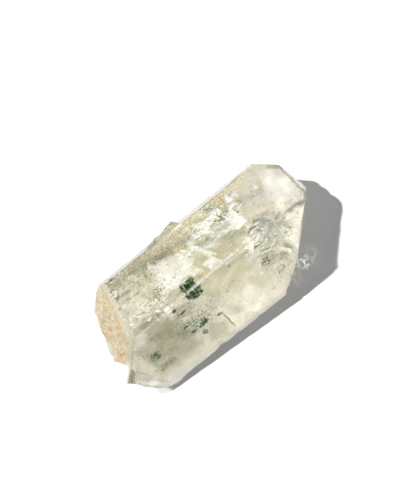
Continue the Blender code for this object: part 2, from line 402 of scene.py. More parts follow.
# %% [markdown]
# The finish has to know where the broken end is, where the edges are, and which faces look away from
# the sun. The mesh can carry such things as marks, one number for each point, and the shader reads
# them by name. A mark is worked out from where a point is and from the way its face looks. That way
# is averaged over a wide patch, so that no single small facet decides it.

# %% What the marks are made from
wide_normals = softened(normals, rounds=10)
wide_normals /= np.linalg.norm(wide_normals, axis=1)[:, None]
nx, ny, nz = wide_normals.T
x, y, z = (points / MM).T  # millimetres


def rise(values, low, high):
    """0 below low, 1 above high, and a smooth rise between them."""
    share = np.clip((values - low) / (high - low), 0, 1)
    return share * share * (3 - 2 * share)


# %% [markdown]
# The break is what looks back along the crystal at its end. Iron stained it from outside, so the stain
# comes up with the distance from the clear faces, which stay clean.

# %% Mark the broken end
BREAK_START = -19.5  # millimetres along X; the broken faces lie beyond it
STAIN_BACK = 3.2  # millimetres from the clear faces over which the stain comes up
beyond = rise(-x, -BREAK_START, -BREAK_START + 2.0)
broken = rise(-nx, 0.30, 0.45) * beyond
clear_faces = [face for face in crystal_mesh.faces if face.normal.z > 0.55 and face.normal.x > -0.3]
clear_side = BVHTree.FromPolygons(points.tolist(), [[v.index for v in f.verts] for f in clear_faces])
from_clear = np.full(len(points), STAIN_BACK)
for i in np.flatnonzero(broken > 0):
    from_clear[i] = min(clear_side.find_nearest(points[i].tolist())[3] / MM, STAIN_BACK)
print("the broken end has", int((broken > 0.5).sum()), "of", len(points), "points")

# %% [markdown]
# Faces that look away from the sun let few lamp rays out, because real quartz bends or mirrors that
# light elsewhere. That is what keeps the crystal's shadow grey. Two places let more through: the small
# face at the point, which the sun only grazes, and the thin broken end, which shades next to nothing.

# %% Mark how much lamp light passes
LAMPS_LIT = 0.95  # share of lamp light that crosses a face towards the sun
LAMPS_UNDER = 0.85  # the same for the faces that look down, close to the floor
NEAR_FLOOR = 1.5  # millimetres
LAMPS_AWAY = 0.03  # the same for a face that looks away from the sun
LAMPS_GRAZED = 0.6  # the same for the small point face that the sun only grazes
THIN_END = 28.0  # millimetres along -X; the end beyond is thin and casts next to no shadow
point_face = rise(nx, 0.30, 0.45) * rise(-ny, 0.20, 0.35)
away = nx * SUN_WAY.x + ny * SUN_WAY.y
lamps = LAMPS_LIT + (LAMPS_AWAY - LAMPS_LIT) * rise(away, 0.17, 0.24)
lamps += (LAMPS_AWAY - lamps) * rise(-nz, 0.05, 0.15)
near_floor = rise(-nz, 0.35, 0.55) * (z < NEAR_FLOOR)
lamps += (LAMPS_UNDER - lamps) * np.maximum(near_floor, rests)
lamps += (LAMPS_GRAZED - lamps) * point_face * rise(nz, 0.4, 0.6)
lamps += (LAMPS_LIT - lamps) * rise(-x, THIN_END, THIN_END + 1.5)

# %% [markdown]
# Quartz gathers light like a lens and throws bright spots into its own shadow. Each spot is followed
# back along the sun's rays to the place where the light leaves the stone, and lets more through there.

# %% Mark the sparkle
SPARKLES = (
    # spots of the shadow where the stone gathers light: X and Y, reach in millimetres, and share
    (22.1, -14.3, 3.0, 1.0),
    (20.0, -12.4, 2.2, 0.8),
    (25.0, -14.0, 4.0, 0.25),
    (18.0, -16.0, 3.4, 0.20),
)
surface = BVHTree.FromBMesh(crystal_mesh)
sparkle = np.zeros(len(points))
for spot_x, spot_y, reach, share in SPARKLES:
    lit, _normal, _face, _far = surface.ray_cast(at(spot_x, spot_y, 0.0), -down)
    if lit is not None:
        far = np.linalg.norm(points - np.array(lit), axis=1) / MM
        sparkle = np.maximum(sparkle, share * (1 - rise(far, 0.2 * reach, reach)))
print("sparkle leaves the stone at", int((sparkle > 0).sum()), "points")

# %% [markdown]
# Knocks turned a stretch of the ridge white, and that white also paints the bright line of light along
# the ridge as a highlight. Other parts are dull, finely etched so that they scatter light: the face at
# the point, the steep right side and its foot, the heel, and a rim round the point. The rim's frost is
# also a painted highlight, for the bright light in the face at the point. The upper part of the left
# side keeps a thin brownish skin from when the crystal grew.

# %% Mark the wear
RIDGE_WHITE_SPAN = (-13.0, 11.0)  # millimetres along X; between them the ridge is frosted white, worn and painted as a highlight
DULL_POINT = 0.4  # how dull each part is, from 0 to 1
DULL_FOOT = 0.8
DULL_HEEL = 0.3
RIM_DULL_AND_HIGHLIGHT = 0.9
on_ridge = on_edge & (nz > 0.8) & (ny < -0.15)
on_ridge &= (x > RIDGE_WHITE_SPAN[0]) & (x < RIDGE_WHITE_SPAN[1])
dull = point_face * DULL_POINT + rise(-ny, 0.82, 0.90)
dull += rise(-z, -6.0, -3.0) * rise(-y, 6.0, 10.0) * DULL_FOOT
dull += rise(-x, 29.0, 31.0) * rise(-y, 4.0, 7.0) * DULL_HEEL
# The rim round the point is frosted partly as a painted highlight: a pale band that stands in for the
# bright light in the face at the point and along its upper edge.
on_rim = np.maximum(rise(x + 0.6 * y, 34.0, 36.5), rise(y, 11.0, 13.5) * rise(x, 22.0, 26.0))
dull += on_rim * rise(nz, 0.1, 0.4) * RIM_DULL_AND_HIGHLIGHT
rind = rise(ny, 0.45, 0.75) * rise(z, 8.0, 12.0)

# %% Write the marks on the mesh
marks = {
    "sparkle": sparkle,
    "broken": softened(broken, rounds=4),
    "stain": softened(broken * rise(from_clear, 0.3, STAIN_BACK), rounds=2),
    "ridge": np.maximum(on_ridge, softened(on_ridge.astype(float), rounds=1) * 1.3),
    "dull": softened(np.minimum(dull, 1.0), rounds=2),
    "rind": softened(rind, rounds=2),
    "edge": softened(on_edge.astype(float), rounds=3, share=0.6),
    "lamps": lamps,
}
for name, values in marks.items():
    layer = crystal_mesh.verts.layers.float.new(name)
    for vert, value in zip(crystal_mesh.verts, values):
        vert[layer] = value
    print(name, "covers", round(float(values.mean()), 3))

# %% Make the crystal an object
SHARP_EDGE = math.radians(40.0)  # folds sharper than this aren't shaded smooth
crystal = as_object("clear_quartz", crystal_mesh)
crystal.data.shade_smooth()
crystal.data.set_sharp_from_angle(angle=SHARP_EDGE)

# %% [markdown]
# Quartz bends light with an index of 1.544. The stone is faintly smoky and olive, which plain
# absorption gives: the longer the way through the crystal, the warmer the light. Lamps would not
# reach what is inside a glass shader, so for shadow rays the surface turns transparent.

# %% Clear quartz
IOR = 1.544
quartz = Finish("chlorite quartz")
fine_waves = quartz.noise(1.3, detail=4.0, stretch=(1.0, 0.45, 0.45))
slow_waves = quartz.noise(7.0, detail=3.0)
growth_lines = quartz.noise(0.5, detail=5.0, rough=0.65, stretch=(1.0, 0.16, 0.16))
glass_bump = quartz.node(
    "ShaderNodeBump",
    None,
    {"Strength": 0.35, "Distance": 0.15 * MM, "Height": fine_waves + growth_lines * 0.35},
)
glass = quartz.principled(
    {
        "Base Color": (1.0, 1.0, 1.0, 1.0),
        "Roughness": quartz.step(slow_waves, 0.35, 0.7) * 0.045 + 0.015,
        "IOR": IOR,
        "Specular Tint": (0.2, 0.2, 0.2, 1.0),
        "Transmission Weight": 1.0,
        "Normal": glass_bump,
    },
)

# %% [markdown]
# Over the glass lie two duller finishes. Frost is where the faces are etched or scratched, along the
# worn edges and on the bruised ridge; on the ridge and on the rim round the point it is also a painted
# highlight. The old skin is a thin brownish film on the left side.

# %% Frost and old skin
FROST_SHARE = 0.34  # how much of the glass the frost hides at most, where the faces are etched
DULL_SHARE = 0.45  # the same on the dull parts
RIND_SHARE = 0.18  # the same for the old skin
frost = quartz.principled(
    {"Base Color": (0.86, 0.84, 0.76, 1.0), "Roughness": 0.45, "IOR": IOR, "Normal": glass_bump},
)
frosted = quartz.step(growth_lines, 0.55, 0.64) * quartz.step(slow_waves, 0.44, 0.60) * FROST_SHARE
edge_worn = quartz.mark("edge") ** 2.0 * (quartz.step(fine_waves, 0.42, 0.62) * 0.4 + 0.08)
# the ridge's white stripe: wear, and a painted highlight for the bright line of light along the ridge
ridge_wear_and_highlight = quartz.mark("ridge") * (quartz.step(growth_lines, 0.42, 0.56) * 0.7 + 0.3)
wear_and_highlight = edge_worn + ridge_wear_and_highlight + quartz.mark("dull") * DULL_SHARE
frost_share = quartz.node(
    "ShaderNodeMath", {"operation": "ADD", "use_clamp": True}, {0: frosted, 1: wear_and_highlight}
)
old_skin = quartz.principled(
    {"Base Color": (0.58, 0.51, 0.38, 1.0), "Roughness": 0.5, "IOR": IOR, "Normal": glass_bump},
)
rind_share = quartz.mark("rind") * quartz.step(fine_waves, 0.42, 0.6) * RIND_SHARE
clear_or_frost = quartz.mix(rind_share, quartz.mix(frost_share, glass, frost), old_skin)

# %% [markdown]
# The broken end is rough and stained by iron. Cream and peach lie over it in soft zones, with rusty
# spots inside the peach ones. A ragged border keeps the break from ending in a clean line.

# %% Colour of the break
RAGGED = 0.9  # how far a noise pushes the borders of the break and of its stain
ragged_border = (quartz.noise(1.6, detail=4.0, rough=0.6) - 0.5) * RAGGED
broken_here = quartz.step(quartz.mark("broken") + ragged_border, 0.3, 0.75)
rust = quartz.step(quartz.noise(0.9, detail=2.0), 0.55, 0.62)
grain = quartz.noise(0.7, detail=6.0, rough=0.7, stretch=(1.0, 0.6, 0.5))
cream = quartz.node(
    "ShaderNodeValToRGB",
    {
        "stops": (
            (0.34, (0.34, 0.28, 0.16, 1.0)),
            (0.45, (0.44, 0.365, 0.22, 1.0)),
            (0.56, (0.54, 0.47, 0.33, 1.0)),
            (0.66, (0.74, 0.69, 0.57, 1.0)),
        )
    },
    {"Fac": grain},
)
rusty_zone = quartz.step(quartz.noise(3.5, detail=2.0), 0.44, 0.60)
rusty = rust * rusty_zone * 0.9
peach = quartz.blend(rusty_zone * 0.5, cream, (0.52, 0.38, 0.21, 1.0))
stained = quartz.blend(rusty, peach, (0.36, 0.17, 0.04, 1.0))
stain_edge = quartz.mark("stain") + (quartz.noise(2.2, detail=5.0, rough=0.6) - 0.5) * RAGGED
stain_here = quartz.step(stain_edge, 0.10, 0.95) * broken_here
break_colour = quartz.blend(stain_here, (0.52, 0.50, 0.37, 1.0), stained)

# %% Rough break
rough_bump = quartz.node(
    "ShaderNodeBump",
    None,
    {
        "Strength": 0.6,
        "Distance": 0.3 * MM,
        "Height": quartz.noise(0.9, detail=6.0, rough=0.7, stretch=(1.0, 0.7, 0.8)),
    },
)
rough_break = quartz.principled(
    {"Base Color": break_colour, "Roughness": 0.7, "IOR": IOR, "Normal": rough_bump},
)
dressed = quartz.mix(broken_here * (stain_here * 0.45 + 0.45), clear_or_frost, rough_break)

# %% [markdown]
# Last comes what each kind of ray meets. Lamp rays pass by the share in the marks, a little dappled,
# and with the sparkle where that is marked. Soft light passes too, and all other rays see the finish.

# %% Light through the quartz
SOFT_IN = 0.85  # share of soft light that crosses a face
dapple = quartz.step(quartz.noise(5.0, detail=3.0), 0.3, 0.7) * 0.2 + 0.8
focus = quartz.step(quartz.noise(0.8, detail=4.0, stretch=(0.45, 1.0, 1.0)), 0.45, 0.57)
tint = quartz.node(
    "ShaderNodeVolumeAbsorption", None, {"Color": (0.91, 0.868, 0.67, 1.0), "Density": 26.0}
)
lamps_in = quartz.mark("lamps") + quartz.mark("sparkle") * focus
light_in = quartz.lamp() * lamps_in * dapple + quartz.soft() * SOFT_IN
seen = quartz.mix(light_in, dressed, quartz.unseen())
crystal.data.materials.append(quartz.done(seen, tint))
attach(crystal, "root")
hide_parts("quartz_crystal")

# %% [markdown]
# What lies inside is placed by where the picture shows it. A straight look down bends as it enters
# the quartz, so the helper below follows that bent way for a given depth. The same grain is then at
# the right place in the picture and truly inside the stone from every other side.

# %% Places inside the crystal
MIDDLE_PIXEL = (200.0, 251.0)
CLOSER = 0.99  # share of the way from the middle that a pixel beside the crystal keeps, each time
DOWN = Vector((0.0, 0.0, -1.0))
TURN = math.radians(CAMERA_TURN)
PICTURE_RIGHT = Vector((math.cos(TURN), math.sin(TURN), 0.0))
PICTURE_DOWN = Vector((PICTURE_RIGHT.y, -PICTURE_RIGHT.x, 0.0))
SKIN = 0.35  # millimetres of clear quartz that stay over everything inside


def bent(way, normal, ratio):
    """The way of a ray after it crosses a surface."""
    facing = -normal.dot(way)
    root = 1 - ratio**2 * (1 - facing**2)
    return way * ratio + normal * (ratio * facing - math.sqrt(root))


def below(pixel_x, pixel_y, depth):
    """The place that many millimetres inside that the picture shows at a pixel.

    A pixel just beside the crystal is taken closer to the picture's middle until it is on it.
    """
    pixel = np.array((pixel_x, pixel_y), float) - MIDDLE_PIXEL
    while True:
        across, along = pixel * PIXEL
        aside = (PICTURE_RIGHT * across + PICTURE_DOWN * along) * MM
        over = at(*PICTURE_CENTRE, 2 * CAMERA_RISE) + aside
        hit, normal, _face, _far = surface.ray_cast(over, DOWN)
        if hit is not None:
            return hit + bent(DOWN, normal, 1 / IOR) * depth * MM
        pixel *= CLOSER


def is_inside(place, skin=SKIN):
    """True if a place is inside the crystal with that much quartz over it."""
    nearest, normal, _face, far = surface.find_nearest(place)
    return (place - nearest).dot(normal) < 0 and far > skin * MM


print("ridge is at", [round(v / MM, 2) for v in below(200, 281, 0)])

# %% [markdown]
# Grains of every kind in the stone are small flat plates: chlorite grows as tiny green books, and the
# milky clouds are specks that mirror light. Geometry Nodes put one plate on each point of a cloud of
# points, turn it at random and scale it by the size that the point carries. Only the cloud and a few
# named inputs differ from one kind of grain to the next.


# %% Plates on points
def plate_tree():
    """The node tree that puts a small plate on each point of a cloud."""
    tree = bpy.data.node_groups.new("plates on points", "GeometryNodeTree")
    face = tree.interface
    face.new_socket("Geometry", in_out="OUTPUT", socket_type="NodeSocketGeometry")
    face.new_socket("Geometry", in_out="INPUT", socket_type="NodeSocketGeometry")
    kinds = {"Sides": "Int", "Thickness": "Float", "Seed": "Int", "Finish": "Material"}
    for name, kind in kinds.items():
        face.new_socket(name, in_out="INPUT", socket_type="NodeSocket" + kind)
    nodes = tree.nodes
    given = nodes.new("NodeGroupInput")
    result = nodes.new("NodeGroupOutput")
    plate = nodes.new("GeometryNodeMeshCylinder")
    plate.inputs["Radius"].default_value = 0.5
    place = nodes.new("GeometryNodeInstanceOnPoints")
    turn = nodes.new("FunctionNodeRandomValue")
    turn.data_type = "FLOAT_VECTOR"
    turn.inputs["Max"].default_value = (math.tau, math.tau, math.tau)
    size = nodes.new("GeometryNodeInputNamedAttribute")
    size.inputs["Name"].default_value = "size"
    real = nodes.new("GeometryNodeRealizeInstances")
    dress = nodes.new("GeometryNodeSetMaterial")
    for source, target in (
        (given.outputs["Geometry"], place.inputs["Points"]),
        (given.outputs["Sides"], plate.inputs["Vertices"]),
        (given.outputs["Thickness"], plate.inputs["Depth"]),
        (given.outputs["Seed"], turn.inputs["Seed"]),
        (plate.outputs["Mesh"], place.inputs["Instance"]),
        (turn.outputs["Value"], place.inputs["Rotation"]),
        (size.outputs["Attribute"], place.inputs["Scale"]),
        (place.outputs["Instances"], real.inputs["Geometry"]),
        (real.outputs["Geometry"], dress.inputs["Geometry"]),
        (given.outputs["Finish"], dress.inputs["Material"]),
        (dress.outputs["Geometry"], result.inputs["Geometry"]),
    ):
        tree.links.new(source, target)
    return tree


plates_on_points = plate_tree()
print("plates on points is made of", len(plates_on_points.nodes), "nodes")


def grow(name, places, sizes, finish, sides=5, thickness=0.3, seed=1):
    """A piece made of one small plate on each place."""
    data = bpy.data.meshes.new(name + "_points")
    data.from_pydata([tuple(p) for p in places], [], [])
    size = data.attributes.new("size", "FLOAT", "POINT")
    size.data.foreach_set("value", np.array(sizes, np.float32) * MM)
    carrier = placed(name + "_points", data)
    modifier = carrier.modifiers.new("plates", "NODES")
    modifier.node_group = plates_on_points
    values = {"Sides": sides, "Thickness": thickness, "Seed": seed, "Finish": finish}
    for item in plates_on_points.interface.items_tree:
        if item.in_out == "INPUT" and item.name in values:
            modifier[item.identifier] = values[item.name]
    evaluated = carrier.evaluated_get(bpy.context.evaluated_depsgraph_get())
    plain = bpy.data.meshes.new_from_object(evaluated)
    plain.name = name
    bpy.data.objects.remove(carrier)
    piece = placed(name, plain)
    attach(piece, "root")
    print(name, "has", len(places), "plates and", len(plain.polygons), "faces")


# %% [markdown]
# A cloud of points is drawn about a middle, denser towards it. A noise thins it out, so that it has
# the ragged, clotted look of a mineral and not of a ball.


# %% Clouds of points
TRIES = 12  # a cloud gives up after this many tries for each place that it wants


def cloud(random, middle, reach, count, clot, gaps=0.0, longest=2.4):
    """Places about a middle. Reach is the spread along X, Y and Z, and clot the size of a clump.

    Nothing lies farther out than the longest number of half spreads, so a low one gives a hard rim.
    """
    found = []
    for _ in range(count * TRIES):
        offset = random.normal(0.0, 1.0, 3)
        place = middle + Vector(offset * np.array(reach) * MM * 0.5)
        if np.linalg.norm(offset) > longest:
            continue
        if noise.noise(place / (clot * MM)) > gaps and is_inside(place):
            found.append(place)
        if len(found) == count:
            break
    return found


# %% [markdown]
# Chlorite. One large tuft sits under the ridge, so that both faces show it, and small ones are strewn
# below the flank. The green is deep in the middle of a tuft and lighter where its plates are few.

# %% Chlorite finish
chlorite = Finish("chlorite")
chlorite_green = chlorite.blend(
    chlorite.step(chlorite.noise(0.7, detail=3.0), 0.35, 0.65),
    (0.001, 0.026, 0.0, 1.0),
    (0.038, 0.175, 0.0, 1.0),
)
green_plate = chlorite.principled(
    {"Base Color": chlorite_green, "Roughness": 0.8, "IOR": 1.58, "Specular IOR Level": 0.0},
)
LAMPS_PAST = 0.98  # share of lamp light that passes a small plate in the stone
chlorite.done(chlorite.mix(chlorite.lamp() * LAMPS_PAST, green_plate, chlorite.unseen()))

# %% Chlorite tufts
TUFTS = (
    # middle, spread in X, Y and Z, plates, clump
    (at(-5.5, 0.75, 17.1), (2.8, 2.5, 1.5), 2700, 1.5),
    (below(204.4, 321.7, 4.0), (1.5, 1.1, 1.0), 260, 0.7),
    (below(202.0, 325.5, 4.0), (0.9, 0.8, 0.8), 80, 0.6),
    (below(205.4, 332.2, 4.5), (0.8, 1.2, 0.7), 90, 0.6),
    (below(185.3, 327.4, 4.0), (0.9, 0.7, 0.6), 60, 0.6),
    (below(174.3, 310.7, 3.0), (0.8, 0.6, 0.5), 90, 0.6),
    (below(183.3, 312.1, 3.5), (1.2, 0.6, 0.5), 90, 0.6),
    (below(194.8, 331.2, 4.5), (1.2, 0.8, 0.8), 80, 0.7),
    (below(219.7, 314.0, 3.5), (1.1, 0.6, 0.6), 50, 0.6),
    (below(193.0, 322.5, 4.5), (3.6, 2.4, 2.0), 160, 0.8),
    (below(222.7, 297.4, 2.0), (0.4, 0.4, 0.4), 40, 3.0),
    (below(155.6, 356.1, 5.0), (2.0, 2.0, 1.6), 220, 1.0),
)
TUFT_SWELL = 1.3
TUFT_RIM = 1.5  # half spreads; tufts are compact and end sharply
random = np.random.default_rng(11)
tuft_places = []
for middle, reach, amount, clump in TUFTS:
    wide = tuple(spread * TUFT_SWELL for spread in reach)
    tuft_places += cloud(random, middle, wide, amount, clump, gaps=-0.1, longest=TUFT_RIM)
tuft_sizes = random.uniform(0.12, 0.34, len(tuft_places))
grow("chlorite_tufts", tuft_places, tuft_sizes, chlorite.material, sides=6, seed=3)

# %% [markdown]
# Around the tufts hangs a fine green dust, which turns the lower half of the flank olive. Finer dark
# specks are strewn under the broad top face.

# %% Dust and specks
DUST = (
    (below(165.0, 343.0, 7.0), (14.0, 10.0, 6.0), 3600, 3.0),
    (below(155.6, 357.0, 6.0), (3.0, 2.8, 2.2), 420, 1.2),
    (below(171.0, 362.0, 5.0), (2.6, 1.4, 1.4), 300, 1.6),
    (below(165.0, 367.0, 5.0), (3.0, 1.4, 1.4), 350, 1.6),
    (below(156.0, 373.0, 4.5), (3.4, 1.6, 1.6), 350, 1.6),
    (below(192.0, 325.0, 7.0), (12.0, 7.0, 5.0), 1800, 2.0),
    (below(152.0, 286.0, 6.0), (10.0, 8.0, 5.0), 500, 2.2),
    (at(-5.5, 0.75, 16.4), (7.0, 6.0, 3.0), 900, 1.6),
    (below(125.0, 305.0, 5.0), (4.0, 4.0, 4.0), 150, 1.4),
)
random = np.random.default_rng(12)
dust_places = []
for middle, reach, amount, clump in DUST:
    dust_places += cloud(random, middle, reach, amount, clump)
dust_sizes = random.uniform(0.07, 0.17, len(dust_places))
SPECKS = (
    # middle, spread in X, Y and Z, how many
    (below(146.0, 277.0, 1.4), (9.0, 5.0, 1.0), 130),
    (below(182.0, 316.0, 1.6), (9.0, 4.0, 1.2), 90),
    (below(284.0, 274.0, 1.4), (2.8, 4.5, 0.8), 46),
    (below(215.0, 296.0, 1.4), (9.0, 3.0, 1.0), 26),
    (below(258.0, 195.0, 1.4), (7.0, 4.0, 1.0), 14),
    (below(113.0, 300.0, 0.9), (3.0, 4.0, 0.8), 40),
    (below(221.0, 218.0, 1.2), (2.6, 1.6, 0.6), 60),
    (below(208.0, 210.0, 1.2), (2.6, 1.4, 0.6), 40),
    (below(265.0, 262.0, 1.2), (1.6, 1.6, 0.6), 26),
    (below(196.0, 322.0, 2.4), (10.0, 4.5, 2.0), 150),
    (below(160.0, 296.0, 1.4), (6.0, 3.0, 1.0), 70),
)
for middle, reach, amount in SPECKS:
    speck_places = cloud(random, middle, reach, amount, 1.0, gaps=-0.3)
    dust_places += speck_places
    dust_sizes = np.append(dust_sizes, random.uniform(0.14, 0.44, len(speck_places)))
grow("chlorite_dust", dust_places, dust_sizes, chlorite.material, sides=4, seed=4)

# %% [markdown]
# The milky haze. Healed cracks leave clouds of tiny bubbles and plates that scatter the light white.

# %% Haze
milk = Finish("healed quartz")
milk.done(milk.principled({"Base Color": (0.93, 0.93, 0.88, 1.0), "Roughness": 0.4, "IOR": 1.2}))
HAZE = (
    (at(-17.0, 3.0, 14.0), (16.0, 12.0, 9.0), 1300, 3.0),
    (at(10.0, -3.0, 12.0), (20.0, 14.0, 9.0), 1200, 3.0),
    (at(24.0, 2.0, 12.0), (12.0, 8.0, 6.0), 500, 2.5),
    (below(236.0, 217.0, 3.0), (9.0, 6.0, 3.0), 700, 1.4),
    (below(245.0, 312.0, 4.0), (12.0, 7.0, 6.0), 900, 1.6),
    (below(292.0, 222.0, 3.0), (5.0, 8.0, 3.0), 800, 1.6),
)
random = np.random.default_rng(13)
haze_places = []
for middle, reach, amount, clump in HAZE:
    haze_places += cloud(random, middle, reach, amount, clump)
haze_sizes = random.uniform(0.08, 0.24, len(haze_places))
grow("haze_flecks", haze_places, haze_sizes, milk.material, sides=4, thickness=0.15, seed=5)

# %% [markdown]
# Near the point the crystal was cracked and healed again. Each crack is a thin, slightly wavy sheet
# that mirrors the light, in patches, where it didn't heal. A sheet is drawn between four corners, and
# bulges a little in the middle. It is a closed skin, a few hundredths of a millimetre thick. Each
# point carries four marks: how far it is from the rim, how dark the sheet is, how much of it shows,
# and how soft it is. A soft sheet shows evenly, like milky quartz. A hard one shows in torn patches.

# %% Sheets
SHEET_THICKNESS = 0.05  # millimetres
SHEET_CELLS = 16
RIPPLE = 0.22  # height of the waves, in millimetres
RIPPLE_SIZE = 2.4  # distance between them
VEIL_MARKS = ("rim", "tone", "share", "soft")


def kept_inside(place, skin=SKIN):
    """The place itself, or the nearest one with enough quartz over it."""
    if is_inside(place, skin):
        return place
    nearest, normal, _face, _far = surface.find_nearest(place)
    return nearest - normal * skin * MM


def sheet(mesh, corners, bulge, tone, share, soft=0.0, cells=SHEET_CELLS):
    """Adds a wavy sheet between four corners that go round its rim."""
    layers = [mesh.verts.layers.float[name] for name in VEIL_MARKS]
    first, second, third, fourth = corners
    out = (third - first).cross(fourth - second).normalized()
    sides = []
    for lift in (0.0, SHEET_THICKNESS):
        rows = []
        for i in range(cells + 1):
            u = i / cells
            rows.append([])
            for j in range(cells + 1):
                v = j / cells
                flat = first.lerp(second, u).lerp(fourth.lerp(third, u), v)
                swell = bulge * 16 * u * (1 - u) * v * (1 - v)
                wave = RIPPLE * noise.noise(flat / (RIPPLE_SIZE * MM)) + lift
                vert = mesh.verts.new(kept_inside(flat + out * swell * MM) + out * wave * MM)
                for layer, value in zip(layers, (4 * min(u, 1 - u, v, 1 - v), tone, share, soft)):
                    vert[layer] = min(value, 1.0)
                rows[-1].append(vert)
        sides.append(rows)
    low, high = sides
    for i in range(cells):
        for j in range(cells):
            cell = ((i, j), (i + 1, j), (i + 1, j + 1), (i, j + 1))
            mesh.faces.new([high[a][b] for a, b in cell])
            mesh.faces.new([low[a][b] for a, b in reversed(cell)])
    loop = [(k, 0) for k in range(cells)] + [(cells, k) for k in range(cells)]
    loop += [(cells - k, cells) for k in range(cells)] + [(0, cells - k) for k in range(cells)]
    for (a, b), (c, d) in zip(loop, loop[1:] + loop[:1]):
        mesh.faces.new([low[a][b], low[c][d], high[c][d], high[a][b]])


# %% [markdown]
# Where each healed crack lies. The corners are pixels of the picture, each with its depth in
# millimetres below the face that the picture shows there. A broad soft sheet deep in the stone stands
# for a milky zone. It has to lie about level, because one that slopes away from the sun looks grey.
# Two soft white sheets under the face at the point are painted highlights, not cracks.

